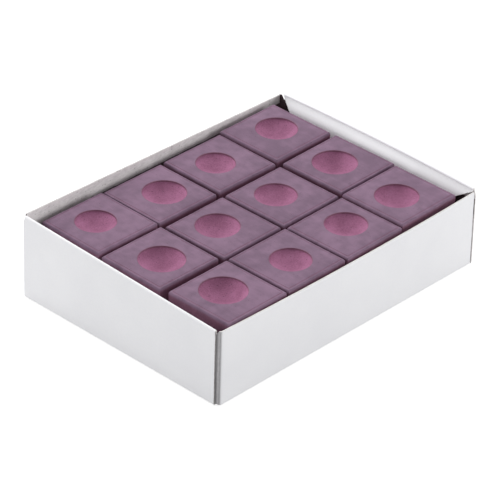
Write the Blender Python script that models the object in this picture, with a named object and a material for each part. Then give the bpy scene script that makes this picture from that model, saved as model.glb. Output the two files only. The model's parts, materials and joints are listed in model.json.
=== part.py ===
"""Open carton tray of twelve cue chalk cubes, in metres with +Z up.

The origin is on the ground under the middle of the tray. +X runs along the tray's long side, from its
left end to its right end, and +Y runs from its near side to its far side.
"""

import math

import bmesh
import bpy
from mathutils import Vector

for old in list(bpy.data.objects):
    bpy.data.objects.remove(old, do_unlink=True)

MM = 0.001

# Sheet stock, and the gaps kept between pieces that touch or are glued.
BOARD = 0.4 * MM
PAPER = 0.1 * MM
TOUCH = 0.3 * MM
GLUE = 0.1 * MM

# One chalk block: about seven eighths of an inch across, with a ball-shaped dimple for the cue tip. The
# same punch goes a little deeper into some blocks than into others.
BLOCK_WIDE = 22.3 * MM
BLOCK_HIGH = 22.5 * MM
BLOCK_SPREAD = 0.6 * MM
BLOCK_SHOULDER = 0.8 * MM
BLOCK_ROUND = 0.9 * MM
BLOCK_FOOT = 0.4 * MM
DIMPLE_WIDE = 12.6 * MM
DIMPLE_DEEP = 2.4 * MM
DIMPLE_SPREAD = 0.5 * MM

# The paper label of a block: a cross that is folded up the four sides, flush with the bare top.
LABEL_BELOW_TOP = 6.0 * MM
LABEL_MARGIN = 1.2 * MM

# How the blocks stand in the tray: the space between them, and the room left along each wall.
COLUMNS = "abcd"
ROWS = "123"
GAP_LONG = 1.0 * MM
GAP_SHORT = 1.5 * MM
ROOM_LEFT = 2.9 * MM
ROOM_RIGHT = 3.8 * MM
ROOM_NEAR = 1.6 * MM
ROOM_FAR = 2.3 * MM

# The tray's rim over the blocks, and where it isn't level: the far left corner stands higher, and the
# right end's fold is crowned.
RIM_OVER = 0.6 * MM
LEFT_RISE = 2.8 * MM
RIGHT_CROWN = 0.6 * MM

# The tray's corners: the ends stop short of the open ones, the flaps turn them, and the liners are mitred.
END_SHORT = 1.5 * MM
FLAP_LONG = 18.0 * MM
FLAP_TAPER = 3.0 * MM
MITRE_WIDE = 4.0 * MM
MITRE_DEEP = 5.0 * MM

# How each block has settled: its shift along X and Y as a share of the gap there, its turn, its extra
# height, the dimple's shift along X and Y as a share of the land round it, and the dimple's extra depth.
SETTLED = {
    "a1": (-0.2, 0.0, -0.8, 1.0, -0.2, 0.2, -0.8),
    "b1": (-0.4, 0.0, -0.6, 0.0, 0.25, -0.2, 0.0),
    "c1": (-0.1, -0.1, -0.8, 0.1, -0.3, 0.1, -1.0),
    "d1": (-0.4, 0.15, 0.5, 1.0, 0.3, 0.15, -0.35),
    "a2": (-0.3, 0.25, -0.5, 0.1, -0.15, -0.3, 0.55),
    "b2": (-0.2, -0.4, 0.4, 0.0, -0.25, 0.3, 0.0),
    "c2": (-0.2, -0.4, 0.5, 0.1, -0.3, 0.3, -0.4),
    "d2": (0.5, 0.1, 1.0, 0.3, -0.2, 0.2, 0.4),
    "a3": (0.5, -0.3, 0.4, 0.3, -0.15, 0.25, 0.8),
    "b3": (0.4, -0.1, 0.3, 0.1, 0.05, -0.3, -0.7),
    "c3": (0.1, -0.1, 1.0, 0.2, 0.3, 0.15, -0.35),
    "d3": (-0.2, 0.4, 0.6, 1.0, -0.35, -0.1, 0.0),
}
# No two neighbours close up by more than this share of the gap, and a turn takes a share of what is left.
SHIFT_MOST = 0.35
TURN_SHARE = 0.9

# Facets of the round forms, and the angle from which an edge is shaded sharp.
BALL_SEGMENTS = 24
BALL_RINGS = 24
EDGE_STEPS = 2
RIM_STEPS = 8
CROWN_STEPS = 8
SHARP_ANGLE = math.radians(35.0)

# What follows from those sizes.
END_THICK = 3 * BOARD + 2 * TOUCH
RIM_ROUND = END_THICK / 2
FLAP_IN = BOARD + TOUCH
SIDE_SHORT = FLAP_IN + BOARD + TOUCH
SEAT = BOARD + TOUCH
LABEL_IN = PAPER + GLUE
FOOT = SEAT + LABEL_IN
BODY_WIDE = BLOCK_WIDE - 2 * LABEL_IN
BLOCKS_LONG = len(COLUMNS) * BLOCK_WIDE + (len(COLUMNS) - 1) * GAP_LONG
BLOCKS_SHORT = len(ROWS) * BLOCK_WIDE + (len(ROWS) - 1) * GAP_SHORT
TRAY_LONG = BLOCKS_LONG + ROOM_LEFT + ROOM_RIGHT + 2 * END_THICK
TRAY_SHORT = BLOCKS_SHORT + ROOM_NEAR + ROOM_FAR + 2 * BOARD
TRAY_HIGH = FOOT + BLOCK_HIGH + RIM_OVER
HALF_LONG = TRAY_LONG / 2
HALF_SHORT = TRAY_SHORT / 2
PLAY = (min(GAP_LONG, GAP_SHORT) * (1 - SHIFT_MOST) - TOUCH) / 2
SWING = math.asin(TURN_SHARE * PLAY / (BLOCK_WIDE / 2))
BALL_RADIUS = (DIMPLE_WIDE**2 / 4 + DIMPLE_DEEP**2) / (2 * DIMPLE_DEEP)
LAND = BLOCK_WIDE / 2 - BLOCK_SHOULDER - DIMPLE_WIDE / 2

# Surfaces: base colour and roughness.
CHALK = ((0.20, 0.125, 0.185), 0.95)
LABEL_PAPER = ((0.72, 0.70, 0.66), 0.85)
WHITE_BOARD = ((0.82, 0.82, 0.84), 0.55)
GREY_BOARD = ((0.42, 0.39, 0.39), 0.90)


def add_material(name, surface):
    colour, roughness = surface
    material = bpy.data.materials.new(name)
    material.use_nodes = True
    shader = material.node_tree.nodes["Principled BSDF"]
    shader.inputs["Base Color"].default_value = (*colour, 1.0)
    shader.inputs["Roughness"].default_value = roughness
    shader.inputs["Metallic"].default_value = 0.0
    return material


def add_object(name, bm, surface, parent=None):
    """Turn the mesh being edited into a named object with a material of its own."""
    mesh = bpy.data.meshes.new(name)
    bm.to_mesh(mesh)
    bm.free()
    mesh.shade_smooth()
    mesh.set_sharp_from_angle(angle=SHARP_ANGLE)
    mesh.materials.append(add_material(name, surface))
    obj = bpy.data.objects.new(name, mesh)
    bpy.context.scene.collection.objects.link(obj)
    obj.parent = parent
    return obj


def add_panel(name, outline, thickness, surface, parent):
    """A flat board: an outline in space, extruded by its thickness."""
    bm = bmesh.new()
    face = bm.faces.new([bm.verts.new(point) for point in outline])
    made = bmesh.ops.extrude_face_region(bm, geom=[face])["geom"]
    moved = [item for item in made if isinstance(item, bmesh.types.BMVert)]
    bmesh.ops.translate(bm, verts=moved, vec=thickness)
    bmesh.ops.recalc_face_normals(bm, faces=bm.faces)
    add_object(name, bm, surface, parent)


def soften(bm, edges, width, segments):
    bmesh.ops.bevel(
        bm, geom=edges, offset=width, affect="EDGES", segments=segments, profile=0.5, material=-1
    )


def thicken(sheet, thickness, outward):
    """Give a folded sheet its thickness, on the side that its faces point to or on the other side."""
    solid = sheet.modifiers.new("thickness", "SOLIDIFY")
    solid.thickness = thickness
    solid.offset = 1.0 if outward else -1.0
    solid.use_even_offset = True


def rim_height(end, y):
    """Height of the rim at an end of the tray, with end -1 for the left one and 1 for the right one."""
    along = (y + HALF_SHORT) / TRAY_SHORT
    if end < 0:
        return TRAY_HIGH + LEFT_RISE * along
    return TRAY_HIGH + RIGHT_CROWN * 4.0 * along * (1.0 - along)


def is_open(end, side):
    """The tray is racked: two corners across from each other stand open, and the other two are tight."""
    return end == side


def make_floor(tray):
    reach_x = HALF_LONG - BOARD - TOUCH
    reach_y = HALF_SHORT - BOARD - TOUCH
    outline = [
        (-reach_x, -reach_y, 0.0),
        (reach_x, -reach_y, 0.0),
        (reach_x, reach_y, 0.0),
        (-reach_x, reach_y, 0.0),
    ]
    add_panel("floor", outline, (0.0, 0.0, BOARD), GREY_BOARD, tray)


def make_side(name, side, tray):
    """A long side, with side -1 for the near one and 1 for the far one."""
    left, right = (end * (HALF_LONG - (SIDE_SHORT if is_open(end, side) else FLAP_IN)) for end in (-1, 1))
    y = side * HALF_SHORT
    outline = [
        (left, y, 0.0),
        (right, y, 0.0),
        (right, y, rim_height(1, y)),
        (left, y, rim_height(-1, y)),
    ]
    add_panel(name, outline, (0.0, -side * BOARD, 0.0), WHITE_BOARD, tray)


def steps_along(near, far):
    """Places across an end, close enough together for its crown."""
    return [near + (far - near) * step / CROWN_STEPS for step in range(CROWN_STEPS + 1)]


def make_end(name, end, tray):
    """The outer board of a short end, which stops just under the rolled rim."""
    near, far = (side * (HALF_SHORT - (END_SHORT if is_open(end, side) else 0.0)) for side in (-1, 1))
    x = end * HALF_LONG
    outline = [(x, far, 0.0), (x, near, 0.0)]
    for y in steps_along(near, far):
        outline.append((x, y, rim_height(end, y) - RIM_ROUND - TOUCH))
    add_panel(name, outline, (-end * BOARD, 0.0, 0.0), WHITE_BOARD, tray)


def make_liner(name, end, tray):
    """The rolled rim and inner board of a short end, with shoulders mitred below the rim."""
    near, far = (side * (HALF_SHORT - (END_SHORT if is_open(end, side) else SEAT)) for side in (-1, 1))
    # Stations down the sheet: distance in from the outer face, drop below the rim, narrowing.
    stations = []
    for step in range(RIM_STEPS + 1):
        angle = math.pi * step / RIM_STEPS
        stations.append((RIM_ROUND * (1.0 - math.cos(angle)), RIM_ROUND * (1.0 - math.sin(angle)), 0.0))
    stations.append((END_THICK, RIM_ROUND + MITRE_DEEP, MITRE_WIDE))
    stations.append((END_THICK, None, MITRE_WIDE))
    bm = bmesh.new()
    rows = []
    for inward, drop, narrowing in stations:
        row = []
        for y in steps_along(near + narrowing, far - narrowing):
            z = SEAT if drop is None else rim_height(end, y) - drop
            row.append(bm.verts.new((end * (HALF_LONG - inward), y, z)))
        rows.append(row)
    # Taken in this order, the faces of either end point away from the fold's inside.
    rows = rows[::end]
    for row, following in zip(rows, rows[1:]):
        for quad in zip(row, row[1:], following[1:], following):
            bm.faces.new(quad)
    thicken(add_object(name, bm, WHITE_BOARD, tray), BOARD, outward=False)


def make_flap(name, end, side, tray):
    """A long side's corner flap, which turns the corner and runs between the two boards of the end."""
    x = end * (HALF_LONG - FLAP_IN)
    start = 0.0 if is_open(end, side) else BOARD + TOUCH
    # Points round the flap: distance in from the side, and drop below the rim or None at the foot.
    stations = [
        (start, None),
        (FLAP_LONG, None),
        (FLAP_LONG, RIM_ROUND + FLAP_TAPER),
        (END_SHORT, RIM_ROUND),
        (start, 0.0 if is_open(end, side) else RIM_ROUND),
    ]
    outline = []
    for from_side, drop in stations:
        y = side * (HALF_SHORT - from_side)
        outline.append((x, y, SEAT if drop is None else rim_height(end, y) - drop))
    add_panel(name, outline, (-end * BOARD, 0.0, 0.0), GREY_BOARD, tray)


def make_block(name, place, turn, high, dimple):
    """A chalk block with its origin at the middle of its foot. The dimple is its middle and its depth."""
    bm = bmesh.new()
    bmesh.ops.create_cube(bm, size=1.0)
    bmesh.ops.scale(bm, verts=bm.verts, vec=(BLOCK_WIDE, BLOCK_WIDE, high))
    bmesh.ops.translate(bm, verts=bm.verts, vec=(0.0, 0.0, high / 2))
    upright = [edge for edge in bm.edges if abs(edge.verts[0].co.z - edge.verts[1].co.z) > high / 2]
    soften(bm, upright, BLOCK_ROUND, EDGE_STEPS)
    # Below its bare top the body is drawn in, so that the paper lies flush.
    drawn_in = high - LABEL_BELOW_TOP + TOUCH
    for height in (drawn_in + LABEL_IN, drawn_in):
        everything = bm.verts[:] + bm.edges[:] + bm.faces[:]
        bmesh.ops.bisect_plane(bm, geom=everything, plane_co=(0.0, 0.0, height), plane_no=(0.0, 0.0, 1.0))
    body = [vert for vert in bm.verts if vert.co.z < drawn_in + LABEL_IN / 2]
    bmesh.ops.scale(bm, verts=body, vec=(BODY_WIDE / BLOCK_WIDE, BODY_WIDE / BLOCK_WIDE, 1.0))
    for facing, width, steps in ((1.0, BLOCK_SHOULDER, EDGE_STEPS), (-1.0, BLOCK_FOOT, 1)):
        bm.normal_update()
        level = max(bm.faces, key=lambda face: face.normal.z * facing)
        soften(bm, list(level.edges), width, steps)
    bmesh.ops.recalc_face_normals(bm, faces=bm.faces)
    block = add_object(name, bm, CHALK)
    block.location = place
    block.rotation_euler.z = turn

    dimple_x, dimple_y, deep = dimple
    bm = bmesh.new()
    bmesh.ops.create_uvsphere(bm, u_segments=BALL_SEGMENTS, v_segments=BALL_RINGS, radius=BALL_RADIUS)
    ball = add_object(name + "_ball", bm, CHALK, block)
    ball.location = (dimple_x, dimple_y, high + BALL_RADIUS - deep)
    ball.hide_render = True
    ball.display_type = "WIRE"
    cut = block.modifiers.new("dimple", "BOOLEAN")
    cut.operation = "DIFFERENCE"
    cut.solver = "EXACT"
    cut.object = ball
    return block


def make_label(name, block, high):
    """A cross of paper under the block's foot, with its four arms folded up the sides."""
    half_arm = BODY_WIDE / 2 - LABEL_MARGIN
    to_the_edge = GLUE + LABEL_MARGIN
    up_the_side = high - LABEL_BELOW_TOP + GLUE
    bm = bmesh.new()
    # Clockwise from above, so that the face points down and away from the block.
    corners = []
    for x, y in ((1, 1), (1, -1), (-1, -1), (-1, 1)):
        corners.append(bm.verts.new((x * half_arm, y * half_arm, -GLUE)))
    bm.faces.new(corners)
    for first, second in zip(corners, corners[1:] + corners[:1]):
        out = (first.co + second.co) * Vector((0.5, 0.5, 0.0)) / half_arm
        fold = (first, second)
        for push in (out * to_the_edge, Vector((0.0, 0.0, up_the_side))):
            moved = [bm.verts.new(vert.co + push) for vert in fold]
            bm.faces.new((fold[1], fold[0], moved[0], moved[1]))
            fold = moved
    thicken(add_object(name, bm, LABEL_PAPER, block), PAPER, outward=True)


def make_blocks():
    """Stand the blocks in columns from the left end along +X, and in rows from the far side."""
    first_x = -HALF_LONG + END_THICK + ROOM_LEFT + BLOCK_WIDE / 2
    first_y = HALF_SHORT - BOARD - ROOM_FAR - BLOCK_WIDE / 2
    for across, column in enumerate(COLUMNS):
        for down, row in enumerate(ROWS):
            spot = column + row
            shift_x, shift_y, turn, extra, dimple_x, dimple_y, deeper = SETTLED[spot]
            x = first_x + across * (BLOCK_WIDE + GAP_LONG) + shift_x * GAP_LONG
            y = first_y - down * (BLOCK_WIDE + GAP_SHORT) + shift_y * GAP_SHORT
            high = BLOCK_HIGH + extra * BLOCK_SPREAD
            dimple = (dimple_x * LAND, dimple_y * LAND, DIMPLE_DEEP + deeper * DIMPLE_SPREAD)
            block = make_block("chalk_" + spot, (x, y, FOOT), turn * SWING, high, dimple)
            make_label("label_" + spot, block, high)


tray_frame = bpy.data.objects.new("tray", None)
bpy.context.scene.collection.objects.link(tray_frame)
make_floor(tray_frame)
for side_name, side_sign in (("near", -1), ("far", 1)):
    make_side("side_" + side_name, side_sign, tray_frame)
    for end_name, end_sign in (("left", -1), ("right", 1)):
        make_flap(f"flap_{side_name}_{end_name}", end_sign, side_sign, tray_frame)
for end_name, end_sign in (("left", -1), ("right", 1)):
    make_end("end_" + end_name, end_sign, tray_frame)
    make_liner("liner_" + end_name, end_sign, tray_frame)
make_blocks()
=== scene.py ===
"""Looks of an open carton tray of cue chalk cubes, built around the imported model, in metres with +Z up."""

import json
import math

import bmesh
import bpy
from mathutils import Matrix, Vector, noise


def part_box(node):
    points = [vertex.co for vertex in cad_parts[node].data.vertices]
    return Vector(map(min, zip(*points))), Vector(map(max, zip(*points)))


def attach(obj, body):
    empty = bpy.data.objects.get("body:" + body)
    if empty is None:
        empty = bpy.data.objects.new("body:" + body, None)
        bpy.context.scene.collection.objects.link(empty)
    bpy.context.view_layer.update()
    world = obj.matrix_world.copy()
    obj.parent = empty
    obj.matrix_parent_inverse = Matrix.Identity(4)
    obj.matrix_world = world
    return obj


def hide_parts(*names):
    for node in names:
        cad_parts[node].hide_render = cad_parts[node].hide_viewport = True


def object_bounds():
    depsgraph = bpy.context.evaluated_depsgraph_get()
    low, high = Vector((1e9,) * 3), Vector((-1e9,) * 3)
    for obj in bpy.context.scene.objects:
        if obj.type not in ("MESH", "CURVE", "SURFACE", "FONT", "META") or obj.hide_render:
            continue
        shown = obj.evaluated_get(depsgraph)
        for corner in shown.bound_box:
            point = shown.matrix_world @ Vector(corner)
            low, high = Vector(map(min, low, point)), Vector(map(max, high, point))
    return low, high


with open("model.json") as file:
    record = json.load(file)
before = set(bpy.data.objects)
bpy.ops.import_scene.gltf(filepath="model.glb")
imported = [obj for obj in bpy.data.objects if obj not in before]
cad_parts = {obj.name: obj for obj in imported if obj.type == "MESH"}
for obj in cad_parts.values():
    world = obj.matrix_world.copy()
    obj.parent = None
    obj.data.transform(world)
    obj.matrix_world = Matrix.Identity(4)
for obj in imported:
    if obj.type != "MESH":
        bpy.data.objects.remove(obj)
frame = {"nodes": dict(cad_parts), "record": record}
cad_low, cad_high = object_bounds()


# The tray: one die-cut blank of thin carton board, white clay coat outside and bare grey fibre inside.
# The long sides fold up, their flaps turn the corners, and the ends fold up round the flaps, roll over
# and run down inside, which locks the tray with no glue.
MM = 0.001
NEAR = 0.02 * MM
MERGE = 0.002 * MM
SHARP = 38.0
BOARD = 0.4 * MM
CREASE = 0.35 * MM
BULGE = 0.1 * MM
CELL = 2.5 * MM
ARC_STEPS = 5
ROLL_STEPS = 10
RIM_THICK = 0.8 * MM
TIGHT_ROUND = 0.3 * MM
CORNER_CUT = 1.8 * MM
MITRE_FROM = 1.0 * MM
MITRE_WIDE = 4.9 * MM
MITRE_DEEP = 2.9 * MM
MITRE_ROWS = (0.34, 0.67, 1.0)
SIDE_ROW = 0.12
# Rows of an end's outer board, in millimetres below its rim.
OUTER_ROWS = (20.0, 16.0, 12.0, 8.0, 5.0, 3.2, 2.3, 1.8, 1.4, 1.0, 0.75)
# The pinch under the roll: how far out from the roll's inner edge, and how far below the rim.
PINCH_ROWS = ((0.16 * MM, 0.82 * MM), (0.10 * MM, MITRE_FROM))
# A flap's upper edge: distance from the corner, and how far below the rim. A tight corner sinks as it turns.
FLAP_ROWS = ((1.6 * MM, 1.3 * MM), (6.0 * MM, 1.8 * MM))
FLAP_END_SINK = 4.0 * MM
TIGHT_SINK = 1.2 * MM
# How the worn rim stands against a straight one: the left end and both sides lower, the near side sagging.
LEFT_SINK = 0.35 * MM
RIGHT_LIFT = 0.45 * MM
FAR_SINK = 0.2 * MM
NEAR_SINK = 0.45 * MM
NEAR_SAG = 0.95 * MM
EDGE_WAVE = 0.16 * MM
WAVE_TALL = 7.0 * MM
# How far the inner board of an end bows towards the blocks, because the roll springs back.
BOW = {-1: 1.2 * MM, 1: 2.2 * MM}
BOW_AT_MITRE = 0.75
# Rows of an inner board below its mitre: height in millimetres, and share of the bow.
INNER_ROWS = ((16.0, 1.0), (11.0, 0.8), (5.0, 0.4), (0.8, 0.0))
# Painted shade: a dark band low on the inside walls, in the gap below the blocks' tops.
SHADE_BAND_FROM = 15.0 * MM
SHADE_BAND_TO = 21.2 * MM
SHADE_BAND_SOFT = 0.4 * MM
SHADE_BAND_FADE = 2.0 * MM

ENDS = {-1: "left", 1: "right"}
SIDES = {-1: "near", 1: "far"}
half_long, half_short = cad_high.x, cad_high.y
near_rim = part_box("side_near")[1].z
far_left_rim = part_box("side_far")[1].z
crown_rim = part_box("liner_right")[1].z
end_plane = half_long - BULGE


def far_corner(node, sign):
    """The corner of a node's box on the negative or the positive side."""
    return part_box(node)[(sign + 1) // 2]


def end_rim(end, y):
    """Height of an end's rim: the left one climbs to the far corner, and the right one is crowned."""
    across = (y + half_short) / (2 * half_short)
    if end < 0:
        return near_rim - LEFT_SINK + (far_left_rim - near_rim) * across
    return near_rim + RIGHT_LIFT + (crown_rim - near_rim) * 4 * across * (1 - across)


def side_rim(side, x):
    """Height of a long side's rim: the far one climbs to the left corner, and the near one sags."""
    along = (x + half_long) / (2 * half_long)
    if side < 0:
        return near_rim - NEAR_SINK - NEAR_SAG * 4 * along * (1 - along)
    return far_left_rim - FAR_SINK + (near_rim - far_left_rim) * along


def flap_face(end, side):
    """How far out along X the outer face of a corner flap is."""
    return abs(far_corner(f"flap_{SIDES[side]}_{ENDS[end]}", end).x)


def corner_round(end, side):
    """Radius at which a long side turns into its flap: wide at the two open corners, small at the others."""
    return max(TIGHT_ROUND, flap_face(end, side) - abs(far_corner("side_" + SIDES[side], end).x))


def pull(bm, row, place, axis=0, stops=None):
    """Extrude a row of edges, spread the new row between two stops along an axis, and place its points."""
    spread = [vert.co[axis] for edge in row for vert in edge.verts]
    low, high = min(spread), max(spread)
    made = bmesh.ops.extrude_edge_only(bm, edges=row)["geom"]
    verts = {item for item in made if isinstance(item, bmesh.types.BMVert)}
    for vert in verts:
        if stops is not None:
            share = (vert.co[axis] - low) / (high - low)
            vert.co[axis] = stops[0] + (stops[1] - stops[0]) * share
        vert.co = place(vert.co)
    return list({edge for vert in verts for edge in vert.link_edges if edge.other_vert(vert) in verts})


def cut_at(bm, axis, offsets):
    """Cut the whole sheet by planes across one axis."""
    for offset in offsets:
        normal = Vector([float(index == axis) for index in range(3)])
        everything = bm.verts[:] + bm.edges[:] + bm.faces[:]
        bmesh.ops.bisect_plane(bm, geom=everything, dist=NEAR, plane_co=normal * offset, plane_no=normal)


def steps_between(low, high, size):
    count = max(1, round((high - low) / size))
    return [low + (high - low) * step / count for step in range(count + 1)]


def open_row(bm, test):
    return [edge for edge in bm.edges if edge.is_boundary and all(test(vert.co) for vert in edge.verts)]


def fold_end(bm, end):
    """Fold an end up from the floor, roll it over and run it down inside the tray."""
    crease = end * (end_plane - CREASE)
    board = [far_corner("end_" + ENDS[end], side).y for side in SIDES]
    lining = [far_corner("liner_" + ENDS[end], side).y for side in SIDES]
    inner = half_long - abs(far_corner("liner_" + ENDS[end], -end).x)
    roll = RIM_THICK / 2

    def below_rim(inward, drop):
        return lambda co: Vector((end * (half_long - inward), co.y, end_rim(end, co.y) - drop))

    row = open_row(bm, lambda co: abs(co.x - crease) < NEAR)
    for step in range(1, ARC_STEPS + 1):
        angle = math.pi / 2 * step / ARC_STEPS
        x = end * (end_plane - CREASE * (1 - math.sin(angle)))
        z = CREASE * (1 - math.cos(angle))
        row = pull(bm, row, lambda co: Vector((x, co.y, z)), 1, board)
    # Up the outer face, which swells a little under the roll. A tight corner's top is cut off at a slant.
    for drop in OUTER_ROWS:
        height = drop * MM - roll
        share = max(0.0, 1.0 - height / CORNER_CUT)
        stops = [outer + (under - outer) * share for outer, under in zip(board, lining)]
        wave = EDGE_WAVE * noise.noise((end * half_long, 0.0, drop * MM / WAVE_TALL))
        waved = [stop - math.copysign(wave, stop) for stop in stops]
        stops = [new if abs(stop) < half_short - BOARD else stop for stop, new in zip(stops, waved)]
        row = pull(bm, row, below_rim(BULGE - BULGE * share, drop * MM), 1, stops)
    for step in range(ROLL_STEPS + 1):
        angle = math.pi * step / ROLL_STEPS
        inward, drop = roll * (1 - math.cos(angle)), roll * (1 - math.sin(angle))
        row = pull(bm, row, below_rim(inward, drop), 1, lining)
    # The second crease pinches the roll, then the inner board leans in and its shoulders are mitred.
    for outward, drop in PINCH_ROWS:
        row = pull(bm, row, below_rim(RIM_THICK - outward, drop), 1, lining)
    for share in MITRE_ROWS:
        inward = RIM_THICK + (inner + BOW[end] - RIM_THICK) * share * BOW_AT_MITRE
        stops = [lining[0] + MITRE_WIDE * share, lining[1] - MITRE_WIDE * share]
        row = pull(bm, row, below_rim(inward, MITRE_FROM + MITRE_DEEP * share), 1, stops)
    for height, bow in INNER_ROWS:
        x = end * (half_long - inner - BOW[end] * bow)
        row = pull(bm, row, lambda co: Vector((x, co.y, height * MM)))


def mark(row, layer, amount):
    for edge in row:
        for vert in edge.verts:
            vert[layer] = amount


def fold_side(bm, side, fold_shade, painted_shade):
    """Fold a long side up from the floor, and turn its two flaps round the corners."""
    plane = side * half_short
    stops = [end * (flap_face(end, side) - corner_round(end, side)) for end in ENDS]
    row = open_row(bm, lambda co: abs(co.y - plane + side * CREASE) < NEAR)
    for step in range(1, ARC_STEPS + 1):
        angle = math.pi / 2 * step / ARC_STEPS
        y = plane - side * CREASE * (1 - math.sin(angle))
        z = CREASE * (1 - math.cos(angle))
        row = pull(bm, row, lambda co: Vector((co.x, y, z)), 0, stops)
    for share in steps_between(0.0, 1.0, SIDE_ROW)[1:]:
        row = pull(
            bm, row, lambda co: Vector((co.x, plane, CREASE + (side_rim(side, co.x) - CREASE) * share)))
    for end, stop in zip(ENDS, stops):
        bend = corner_round(end, side)
        is_open = bend > TIGHT_ROUND
        row = open_row(bm, lambda co: abs(co.x - stop) < NEAR and abs(co.y - plane) < NEAR)
        row = [edge for edge in row if min(vert.co.z for vert in edge.verts) > CREASE - NEAR]

        def lowered(x, y, sink):
            top = min(side_rim(side, x), end_rim(end, y)) - sink
            return lambda co: Vector((x, y, min(co.z, top)))

        for step in range(1, ARC_STEPS + 1):
            angle = math.pi / 2 * step / ARC_STEPS
            x = stop + end * bend * math.sin(angle)
            y = plane - side * bend * (1 - math.cos(angle))
            row = pull(bm, row, lowered(x, y, 0.0 if is_open else TIGHT_SINK * step / ARC_STEPS))
            # Painted shade: an open corner's fold greys as it turns, and the flaps are grey all through.
            mark(row, fold_shade, step / ARC_STEPS if is_open else 0.0)
            # Painted shade: the far side's corner arcs and flaps are marked to be painted dark.
            mark(row, painted_shade, 1.0 if side > 0 else 0.0)
        flap_stop = abs(far_corner(f"flap_{SIDES[side]}_{ENDS[end]}", -side).y)
        for inward, sink in (*FLAP_ROWS, (half_short - flap_stop, FLAP_END_SINK)):
            row = pull(bm, row, lowered(stop + end * bend, side * (half_short - inward), sink))
            mark(row, fold_shade, 1.0)
            # Painted shade on the far side's flaps as well.
            mark(row, painted_shade, 1.0 if side > 0 else 0.0)


sheet = bmesh.new()
fold_shade_layer = sheet.verts.layers.float.new("fold_shade")
# A mark for painted shade in the far corners.
shade_layer = sheet.verts.layers.float.new("painted_shade")
bmesh.ops.create_grid(sheet, x_segments=1, y_segments=1, size=1.0)
bmesh.ops.scale(sheet, verts=sheet.verts, vec=(end_plane - CREASE, half_short - CREASE, 1.0))
cut_at(sheet, 0, [far_corner("side_" + SIDES[side], end).x for side in SIDES for end in ENDS])
cut_at(sheet, 1, [far_corner("end_" + ENDS[end], side).y for side in SIDES for end in ENDS])
cut_at(sheet, 0, steps_between(-half_long, half_long, CELL))
cut_at(sheet, 1, steps_between(-half_short, half_short, CELL))
reliefs = []
for face in sheet.faces:
    middle = face.calc_center_median()
    side_name = SIDES[1 if middle.y > 0 else -1]
    end_name = ENDS[1 if middle.x > 0 else -1]
    past_side = abs(middle.x) > abs(far_corner("side_" + side_name, 1 if middle.x > 0 else -1).x)
    past_end = abs(middle.y) > abs(far_corner("end_" + end_name, 1 if middle.y > 0 else -1).y)
    if past_side and past_end:
        reliefs.append(face)
bmesh.ops.delete(sheet, geom=reliefs, context="FACES")
for end_sign in ENDS:
    fold_end(sheet, end_sign)
for side_sign in SIDES:
    fold_side(sheet, side_sign, fold_shade_layer, shade_layer)
bmesh.ops.remove_doubles(sheet, verts=sheet.verts, dist=MERGE)
bmesh.ops.recalc_face_normals(sheet, faces=sheet.faces)
lowest = min(sheet.faces, key=lambda face: face.calc_center_median().z)
if lowest.normal.z > 0:
    bmesh.ops.reverse_faces(sheet, faces=sheet.faces)


class Wire:
    """A socket of a material's nodes. Arithmetic on it adds Math nodes, and node() adds any other kind."""

    def __init__(self, tree, socket=None):
        self.tree = tree
        self.socket = socket

    def node(self, kind, settings, inputs, output=0):
        made = self.tree.nodes.new("ShaderNode" + kind)
        for name, value in settings.items():
            setattr(made, name, value)
        for name, value in inputs.items():
            if isinstance(value, Wire):
                self.tree.links.new(value.socket, made.inputs[name])
            else:
                made.inputs[name].default_value = value
        return Wire(self.tree, made.outputs[output])

    def math(self, operation, first, second):
        return self.node("Math", {"operation": operation}, {0: first, 1: second})

    def __add__(self, other):
        return self.math("ADD", self, other)

    def __sub__(self, other):
        return self.math("SUBTRACT", self, other)

    def __mul__(self, other):
        return self.math("MULTIPLY", self, other)

    def __rsub__(self, other):
        return self.math("SUBTRACT", other, self)

    __radd__ = __add__
    __rmul__ = __mul__

    def span(self, low, high):
        """0 at low, 1 at high, smooth between them and level beyond them."""
        settings = {"interpolation_type": "SMOOTHSTEP"}
        return self.node("MapRange", settings, {"Value": self, "From Min": low, "From Max": high})

    def mix(self, first, second):
        """A colour that goes from the first to the second as this value goes from 0 to 1."""
        colours = [value if isinstance(value, Wire) else (*value, 1.0) for value in (first, second)]
        return self.node("Mix", {"data_type": "RGBA"}, {0: self, 6: colours[0], 7: colours[1]}, output=2)


def start_material(name):
    """A new material, its shader and a wire at the surface's own place in space."""
    material = bpy.data.materials.new(name)
    material.use_nodes = True
    shader = material.node_tree.nodes["Principled BSDF"]
    place = Wire(material.node_tree).node("TexCoord", {}, {}, output="Object")
    return material, shader, place


def feed(shader, **wires):
    for name, wire in wires.items():
        wire.tree.links.new(wire.socket, shader.inputs[name.replace("_", " ")])


def speckle(place, scale, detail=2.0, rough=0.5):
    inputs = {"Vector": place, "Scale": scale, "Detail": detail, "Roughness": rough}
    return place.node("TexNoise", {}, inputs)


def marked(place, layer):
    return place.node("Attribute", {"attribute_name": layer}, {}, output="Fac")


def raised(place, height, strength, distance):
    return place.node("Bump", {}, {"Strength": strength, "Distance": distance, "Height": height})


def white_coat():
    """Smooth clay coat with a faint fibre mottle, and painted shade grey on the open folds and flaps."""
    material, shader, place = start_material("white_coat")
    cloud = speckle(place, 60.0)
    fibre = speckle(place, 1500.0, 3.0)
    fold_shade = marked(place, "fold_shade")
    white = (cloud * 0.7 + fibre * 0.3).span(0.3, 0.7).mix((0.825, 0.825, 0.850), (0.865, 0.865, 0.885))
    # Painted shade grey for the open corners' folds and the flaps.
    grey = fibre.span(0.3, 0.7).mix((0.455, 0.445, 0.460), (0.535, 0.525, 0.540))
    feed(shader, Base_Color=(fold_shade * (0.85 + fibre * 0.3)).span(0.0, 0.7).mix(white, grey))
    feed(shader, Roughness=0.48 + fibre * 0.14 + fold_shade * 0.3)
    feed(shader, Normal=raised(place, fibre * 0.5 + cloud, 0.1, 0.05 * MM))
    return material


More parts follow.
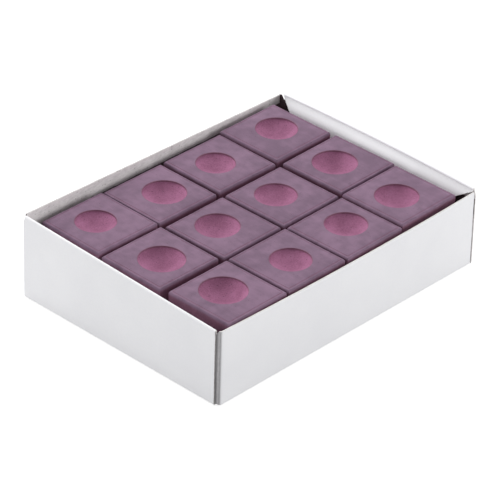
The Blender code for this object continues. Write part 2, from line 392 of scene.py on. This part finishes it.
def grey_fibre(name, dark, light, shade_band):
    """Bare grey recycled fibre, specked dark and pale, with painted shade where marked and in a low band."""
    material, shader, place = start_material(name)
    cloud = speckle(place, 260.0, 3.0)
    stretched = place.node("Mapping", {}, {"Vector": place, "Scale": (0.45, 1.0, 1.4)})
    fleck = speckle(stretched, 1300.0, 3.0, 0.6)
    dots = place.node("TexVoronoi", {"feature": "F1"}, {"Vector": place, "Scale": 900.0}, output="Distance")
    tone = (fleck * 0.65 + cloud * 0.35).span(0.32, 0.68)
    dark_specks = (1.0 - dots.span(0.12, 0.3)) * speckle(place, 420.0).span(0.5, 0.62)
    board = (dark_specks * 0.5).mix(tone.mix(dark, light), (0.20, 0.18, 0.18))
    painted_shade = marked(place, "painted_shade").span(0.1, 0.9)
    # Painted shade also falls on a band low on the inside walls, softened by the cloud.
    if shade_band:
        height = place.node("SeparateXYZ", {}, {0: place}, output="Z") + cloud * SHADE_BAND_SOFT
        band = height.span(SHADE_BAND_FROM, SHADE_BAND_FROM + SHADE_BAND_FADE)
        band = band * (1.0 - height.span(SHADE_BAND_TO, SHADE_BAND_TO + SHADE_BAND_SOFT))
        painted_shade = band.math("MAXIMUM", band, painted_shade)
    # Painted shade: near-black plum-grey where marked, and in the low band.
    dust = fleck.span(0.3, 0.7).mix((0.050, 0.030, 0.034), (0.085, 0.052, 0.060))
    feed(shader, Base_Color=painted_shade.mix(board, dust))
    feed(shader, Roughness=0.86 + fleck * 0.1)
    feed(shader, Normal=raised(place, fleck, 0.4, 0.05 * MM))
    return material


def make_piece(name, bm, materials, sharp=SHARP):
    """Turn a finished mesh into an object at the origin, with its materials."""
    mesh = bpy.data.meshes.new(name)
    bm.to_mesh(mesh)
    bm.free()
    mesh.shade_smooth()
    mesh.set_sharp_from_angle(angle=math.radians(sharp))
    for material in materials:
        mesh.materials.append(material)
    piece = bpy.data.objects.new(name, mesh)
    bpy.context.scene.collection.objects.link(piece)
    return piece


def give_thickness(piece, thickness, outward):
    """Thicken a sheet, with its second material on the back and its third on the cut edges."""
    solid = piece.modifiers.new("thickness", "SOLIDIFY")
    solid.thickness = thickness
    solid.offset = 1.0 if outward else -1.0
    solid.use_even_offset = True
    solid.material_offset = min(1, len(piece.data.materials) - 1)
    solid.material_offset_rim = len(piece.data.materials) - 1
    bpy.context.view_layer.update()
    thick = bpy.data.meshes.new_from_object(piece.evaluated_get(bpy.context.evaluated_depsgraph_get()))
    piece.modifiers.clear()
    piece.data = thick
    thick.set_sharp_from_angle(angle=math.radians(SHARP))


white_board = white_coat()
grey_board = grey_fibre("grey_fibre", (0.56, 0.53, 0.535), (0.72, 0.69, 0.69), shade_band=True)
cut_edge = grey_fibre("cut_edge", (0.58, 0.56, 0.55), (0.72, 0.70, 0.69), shade_band=False)
tray = make_piece("tray", sheet, [white_board, grey_board, cut_edge])
give_thickness(tray, BOARD, outward=False)
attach(tray, "tray")
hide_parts(*frame["record"]["behaviour"]["bodies"]["tray"])


# The chalk blocks: silica and dye pressed in a die, one block each. The punch leaves the dimple and a
# soft roll round the top, the die leaves a fine line in it, and pale dust lies on top but not in the dimple.
HALF = 11.22 * MM
BODY_IN = 0.29 * MM
LIP = 5.5 * MM
CORNER = 0.25 * MM
PUNCH_BALL = 9.47 * MM
DIMPLE_EDGE = 0.12 * MM
DIMPLE_STEPS = 14
DIMPLE_POWER = 2.2
DIMPLE_STEP = 0.42 * MM
ROUND_STEPS = 120
STRAIGHT = 0.36
SQUARE_BY = 9.3 * MM
ROUND_PAST = 0.3 * MM
# The dimple's rim: past its edge and below the top, in millimetres, then dust and how hard it is pressed.
# The steep wall is neither dusted nor pressed, so it takes the sides' dark colour as painted shade.
DIMPLE_RIM = (
    (-0.11, 0.39, 0.0, 0.1), (-0.02, 0.06, 0.0, 0.1), (0.05, 0.012, 0.5, 0.3), (0.14, 0.004, 0.8, 0.1),
    (0.5, 0.002, 1.0, 0.0))
# The top's die line and roll: short of the edge and below the top, in millimetres, then dust.
# Less dust in the die line's groove paints shade there; dust over the edge is bloom and painted light.
TOP_ROLL = (
    (3.1, 0.10, 1.0), (2.6, 0.135, 1.0), (2.15, 0.17, 1.0), (1.75, 0.21, 1.0), (1.4, 0.25, 0.95),
    (1.15, 0.285, 0.9), (1.02, 0.31, 0.8), (0.93, 0.385, 0.4), (0.84, 0.4, 0.35), (0.74, 0.345, 0.95),
    (0.58, 0.345, 1.0), (0.4, 0.36, 1.0), (0.3, 0.395, 1.0), (0.21, 0.475, 1.0), (0.13, 0.6, 0.95),
    (0.07, 0.76, 0.85), (0.03, 0.95, 0.7), (0.01, 1.2, 0.5), (0.0, 1.55, 0.3), (0.03, 2.3, 0.0),
    (0.03, 3.6, 0.0), (0.03, 5.0, 0.0))
LIP_IN = 0.03 * MM
# Rows of the body, as shares of its height. The foot's round: short of the body and height, in millimetres.
BODY_ROWS = (0.8, 0.6, 0.4, 0.2, 0.07)
FOOT_ROUND = ((0.1, 0.3), (0.35, 0.06))
FOOT_IN = 0.95 * MM
# How the surface crumbles: fine grain everywhere, and more grain and long waves along a dusty top edge.
GRAIN_WIDE = 1.1 * MM
GRAIN_RISE = 0.010 * MM
EDGE_GRAIN_RISE = 0.022 * MM
CHIP_WIDE = 4.0 * MM
CHIP_RISE = 0.03 * MM
WORN_OFF = 0.02 * MM
EDGE_FROM = 0.05 * MM
EDGE_TO = 1.3 * MM
EDGE_DUST = 0.3
BLOCK_SHARP = 30.0


def measure_block(node):
    """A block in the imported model: middle of its foot, height, turn, and its dimple's shift and depth."""
    low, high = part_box(node)
    middle = (low + high) / 2
    mesh = frame["nodes"][node].data
    upright = [face for face in mesh.polygons if abs(face.normal.z) < 0.01]
    normal = max(upright, key=lambda face: face.area).normal
    turn = math.atan2(normal.y, normal.x)
    turn -= round(turn / (math.pi / 2)) * math.pi / 2
    inner = [vert.co for vert in mesh.vertices
             if (vert.co.xy - middle.xy).length < HALF / 2 and vert.co.z > middle.z]
    hollow = min(inner, key=lambda co: co.z)
    foot = Vector((middle.x, middle.y, low.z))
    shift = Matrix.Rotation(-turn, 2) @ (hollow.xy - middle.xy)
    return foot, high.z - low.z, turn, shift, high.z - hollow.z


def square_point(share, half, corner):
    """A point on a square with round corners, at a share of the way round it from the middle of a side."""
    quarter = math.floor(share * 4 + 0.5)
    along = share * 4 - quarter
    flat = half - corner
    if abs(along) <= STRAIGHT:
        point = Vector((half, along / STRAIGHT * flat))
    else:
        angle = (abs(along) - STRAIGHT) / (0.5 - STRAIGHT) * math.pi / 4
        beside = math.copysign(flat + corner * math.sin(angle), along)
        point = Vector((flat + corner * math.cos(angle), beside))
    return Matrix.Rotation(quarter * math.pi / 2, 2) @ point


def dimple_radius(deep):
    """Radius at the top of a dimple that a ball-nosed punch has pressed this deep."""
    return math.sqrt(2 * PUNCH_BALL * deep - deep**2)


def block_profile(high, deep):
    """Points from the dimple's middle to the foot's: distance out, height, dust, and how hard pressed."""
    dimple = dimple_radius(deep)
    widest = math.asin((dimple - DIMPLE_EDGE) / PUNCH_BALL)
    points = []
    for step in range(DIMPLE_STEPS + 1):
        angle = widest * step / DIMPLE_STEPS
        out = PUNCH_BALL * math.sin(angle)
        bowl = (deep - DIMPLE_STEP) * (1 - (out / dimple) ** DIMPLE_POWER)
        points.append((out, high - DIMPLE_STEP - bowl, 0.0, 1.0))
    for past, drop, dust, pressed in DIMPLE_RIM:
        points.append((dimple + past * MM, high - drop * MM, dust, pressed))
    points += [(HALF - short * MM, high - drop * MM, dust, 0.0) for short, drop, dust in TOP_ROLL]
    low = [(HALF - LIP_IN, high - LIP), (HALF - BODY_IN, high - LIP - BODY_IN)]
    low += [(HALF - BODY_IN, (high - LIP) * share) for share in BODY_ROWS]
    low += [(HALF - BODY_IN - short * MM, height * MM) for short, height in FOOT_ROUND]
    low += [(HALF - FOOT_IN, 0.0), (0.0, 0.0)]
    return points + [(out, height, 0.0, 0.0) for out, height in low]


def make_block(spot, material):
    foot, high, turn, shift, deep = measure_block("chalk_" + spot)
    bm = bmesh.new()
    dust = bm.verts.layers.float.new("dust")
    pressed = bm.verts.layers.float.new("pressed")
    previous = None
    for out, height, dust_here, pressed_here in block_profile(high, deep):
        vert = bm.verts.new((out, 0.0, height))
        vert[dust] = dust_here
        vert[pressed] = pressed_here
        if previous is not None:
            bm.edges.new((previous, vert))
        previous = vert
    bmesh.ops.spin(
        bm, geom=bm.verts[:] + bm.edges[:], axis=(0.0, 0.0, 1.0), cent=(0.0, 0.0, 0.0), angle=2 * math.pi,
        steps=ROUND_STEPS, use_merge=True)
    bmesh.ops.remove_doubles(bm, verts=bm.verts, dist=MERGE / 2)
    bmesh.ops.recalc_face_normals(bm, faces=bm.faces)
    # The round profile is drawn out to a square beyond the dimple, which keeps its own middle.
    round_to = dimple_radius(deep) + ROUND_PAST
    for vert in bm.verts:
        out = vert.co.xy.length
        share = round(math.atan2(vert.co.y, vert.co.x) / (2 * math.pi) * ROUND_STEPS) / ROUND_STEPS
        outer = square_point(share, max(out, CORNER), CORNER * min(1.0, out / SQUARE_BY))
        squareness = min(1.0, max(0.0, (out - round_to) / (SQUARE_BY - round_to)))
        if vert.co.z < high / 2:
            squareness = 1.0 if out > 0 else 0.0
        circle = Vector((math.cos(share * 2 * math.pi), math.sin(share * 2 * math.pi))) * out + shift
        vert.co.xy = circle.lerp(outer, squareness)
    place = Matrix.Translation(foot) @ Matrix.Rotation(turn, 4, "Z")
    bmesh.ops.transform(bm, matrix=place, verts=bm.verts)
    bm.normal_update()
    # Pressed edges crumble a little, and the die's line comes and goes.
    for vert in bm.verts:
        drop = foot.z + high - vert.co.z
        edge = 1.0 if EDGE_FROM < drop < EDGE_TO and vert[dust] > EDGE_DUST else 0.0
        fine = noise.noise(vert.co / GRAIN_WIDE)
        chip = noise.noise(vert.co / CHIP_WIDE)
        rise = (GRAIN_RISE + EDGE_GRAIN_RISE * edge) * fine + CHIP_RISE * edge * chip - WORN_OFF
        vert.co += vert.normal * rise
    piece = make_piece("chalk_block_" + spot, bm, [material], sharp=BLOCK_SHARP)
    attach(piece, "cube_" + spot)
    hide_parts("chalk_" + spot)


def pressed_chalk():
    """Plum chalk: dark on the sides, pink where the punch has pressed it, and bloomed with dust on top."""
    material, shader, place = start_material("pressed_chalk")
    patch = speckle(place, 55.0)
    cloud = speckle(place, 300.0, 3.0)
    grain = speckle(place, 2400.0, 3.0, 0.65)
    turned = {"Vector": place, "Rotation": (0.0, 0.0, 0.5), "Scale": (1.0, 0.2, 1.0)}
    streak = speckle(place.node("Mapping", {}, turned), 900.0, 2.0)
    pits = place.node("TexVoronoi", {"feature": "F1"}, {"Vector": place, "Scale": 1250.0}, output="Distance")
    pit = (1.0 - pits.span(0.08, 0.28)) * speckle(place, 650.0).span(0.52, 0.62)
    crumb = (1.0 - pits.span(0.05, 0.16)) * speckle(place, 240.0).span(0.6, 0.68)
    pressed = marked(place, "pressed")
    side = (grain * 0.5 + cloud * 0.5).span(0.3, 0.7).mix((0.172, 0.075, 0.118), (0.226, 0.104, 0.158))
    raw = (grain * 0.55 + cloud * 0.45).span(0.3, 0.7).mix((0.238, 0.085, 0.158), (0.338, 0.135, 0.240))
    tone = (cloud * 0.4 + patch * 0.45 + streak * 0.15).span(0.34, 0.66)
    bloom = tone.mix((0.167, 0.107, 0.158), (0.240, 0.151, 0.222))
    cover = (marked(place, "dust") * (0.75 + cloud * 0.5) - grain * 0.12).span(0.1, 0.85)
    colour = (pressed - grain * 0.15).span(0.1, 0.7).mix(cover.mix(side, bloom), raw)
    colour = (crumb * 0.5).mix(colour, (0.34, 0.25, 0.32))
    feed(shader, Base_Color=(pit * (0.3 + pressed * 0.3)).mix(colour, (0.06, 0.028, 0.045)))
    feed(shader, Roughness=0.9 + grain * 0.1)
    height = grain * 0.6 + cloud * 0.6 + streak * 0.15 + crumb * 0.6 - pit * 0.9
    feed(shader, Normal=raised(place, height, 0.6, 0.09 * MM))
    shader.inputs["Specular IOR Level"].default_value = 0.25
    return material


chalk = pressed_chalk()
spots = [column + row for column in "abcd" for row in "123"]
for spot in spots:
    make_block(spot, chalk)


# The labels: plain paper crosses, glued under each block's foot and folded up its four sides to a few
# millimetres below the top. In the tray only the gaps between the blocks show them.
PAPER = 0.1 * MM
FOLD = 0.35 * MM
ARM_SHORT = 1.47 * MM
ARM_ROWS = (0.3, 0.65, 1.0)


def make_label(spot, material):
    foot, _, turn, _, _ = measure_block("chalk_" + spot)
    low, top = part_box("label_" + spot)
    under = low.z + PAPER - foot.z
    reach = HALF - BODY_IN + PAPER
    arm = HALF - ARM_SHORT
    bm = bmesh.new()
    bmesh.ops.create_grid(bm, x_segments=1, y_segments=1, size=1.0)
    bmesh.ops.scale(bm, verts=bm.verts, vec=(arm, arm, 1.0))
    bmesh.ops.translate(bm, verts=bm.verts, vec=(0.0, 0.0, under))
    for quarter in range(4):
        spin = Matrix.Rotation(quarter * math.pi / 2, 3, "Z")
        row = open_row(bm, lambda co: (spin.inverted() @ co).x > arm - NEAR)
        for step in range(ARC_STEPS + 1):
            angle = math.pi / 2 * step / ARC_STEPS
            out = reach - FOLD + FOLD * math.sin(angle)
            up = under + FOLD * (1 - math.cos(angle))
            row = pull(bm, row, lambda co: spin @ Vector((out, (spin.inverted() @ co).y, up)))
        for share in ARM_ROWS:
            up = under + FOLD + (top.z - foot.z - under - FOLD) * share
            row = pull(bm, row, lambda co: Vector((co.x, co.y, up)))
    bmesh.ops.recalc_face_normals(bm, faces=bm.faces)
    if min(bm.faces, key=lambda face: face.calc_center_median().z).normal.z > 0:
        bmesh.ops.reverse_faces(bm, faces=bm.faces)
    place = Matrix.Translation(foot) @ Matrix.Rotation(turn, 4, "Z")
    bmesh.ops.transform(bm, matrix=place, verts=bm.verts)
    piece = make_piece("paper_label_" + spot, bm, [material])
    give_thickness(piece, PAPER, outward=True)
    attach(piece, "cube_" + spot)
    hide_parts("label_" + spot)


def label_paper():
    """Uncoated off-white paper, dusted with plum near the chalk."""
    material, shader, place = start_material("label_paper")
    fibre = speckle(place, 1700.0, 3.0, 0.6)
    smudge = speckle(place, 190.0, 3.0)
    paper = fibre.span(0.3, 0.7).mix((0.68, 0.66, 0.62), (0.77, 0.75, 0.71))
    feed(shader, Base_Color=(smudge.span(0.48, 0.75) * 0.45).mix(paper, (0.42, 0.30, 0.36)))
    feed(shader, Roughness=0.82 + fibre * 0.12)
    feed(shader, Normal=raised(place, fibre, 0.25, 0.04 * MM))
    return material


paper = label_paper()
for spot in spots:
    make_label(spot, paper)


# The stage: a plain pale floor that keeps the tray's shadow, one large soft light from behind, a low one
# on either side, a white surround, and a long lens at the photograph's angle.
FLOOR_HALF = 6.0
FLOOR_DOWN = 0.1 * MM
FLOOR_COLOUR = (0.42, 0.42, 0.42)
FLOOR_SEEN = (0.76, 0.76, 0.76)
SURROUND = (0.46, 0.46, 0.46)
WHITE = (1.0, 1.0, 1.0)
BLACK = (0.0, 0.0, 0.0)
DIRECT_RAYS = ("Is Camera Ray", "Is Glossy Ray", "Is Transmission Ray")
SOFT_BOX_WIDE = 0.5
# Place and power of each soft light.
SOFT_BOXES = {
    "light_behind": ((0.26, 0.91, 0.88), 13.0),
    "light_left": ((-0.84, 0.84, 0.24), 8.6),
    "light_right": ((0.84, -0.84, 0.24), 10.0),
}
LENS_LONG = 270.2
SENSOR_WIDE = 36.0
CAMERA_PLACE = (-0.64185, -0.59885, 0.56833)
CAMERA_RIGHT = (0.6934, -0.7202, 0.0243)
CAMERA_FORWARD = (0.6167, 0.5757, -0.5369)


def seen_directly(wire):
    """1 for rays from the camera, from a mirror and through glass, and 0 for the light on the object."""
    camera_ray, glossy_ray, through_ray = (wire.node("LightPath", {}, {}, output=ray) for ray in DIRECT_RAYS)
    return camera_ray + glossy_ray + through_ray


bm = bmesh.new()
bmesh.ops.create_grid(bm, x_segments=1, y_segments=1, size=FLOOR_HALF)
bmesh.ops.translate(bm, verts=bm.verts, vec=(0.0, 0.0, -FLOOR_DOWN))
floor_material, floor_shader, floor_place = start_material("studio_floor")
floor_shader.inputs["Base Color"].default_value = (*FLOOR_COLOUR, 1.0)
floor_shader.inputs["Roughness"].default_value = 0.9
floor_shader.inputs["Specular IOR Level"].default_value = 0.0
floor_shader.inputs["Emission Strength"].default_value = 1.0
feed(floor_shader, Emission_Color=seen_directly(floor_place).mix(BLACK, FLOOR_SEEN))
studio_floor = make_piece("studio_floor", bm, [floor_material])

world = bpy.data.worlds.new("surround")
bpy.context.scene.world = world
world.use_nodes = True
background = world.node_tree.nodes["Background"]
feed(background, Color=seen_directly(Wire(world.node_tree)).mix(SURROUND, WHITE))

for light_name, (light_place, power) in SOFT_BOXES.items():
    lamp = bpy.data.lights.new(light_name, "AREA")
    lamp.size = SOFT_BOX_WIDE
    lamp.energy = power
    soft_box = bpy.data.objects.new(light_name, lamp)
    soft_box.location = light_place
    soft_box.rotation_euler = Vector(light_place).to_track_quat("Z", "Y").to_euler()
    bpy.context.scene.collection.objects.link(soft_box)

lens = bpy.data.cameras.new("photo_camera")
lens.lens = LENS_LONG
lens.sensor_width = SENSOR_WIDE
camera = bpy.data.objects.new("photo_camera", lens)
right = Vector(CAMERA_RIGHT).normalized()
forward = Vector(CAMERA_FORWARD).normalized()
up = right.cross(forward)
right = forward.cross(up)
turned = Matrix((right, up, -forward)).transposed()
camera.matrix_world = Matrix.Translation(CAMERA_PLACE) @ turned.to_4x4()
bpy.context.scene.collection.objects.link(camera)
bpy.context.scene.camera = camera
bpy.context.scene.view_settings.view_transform = "Standard"
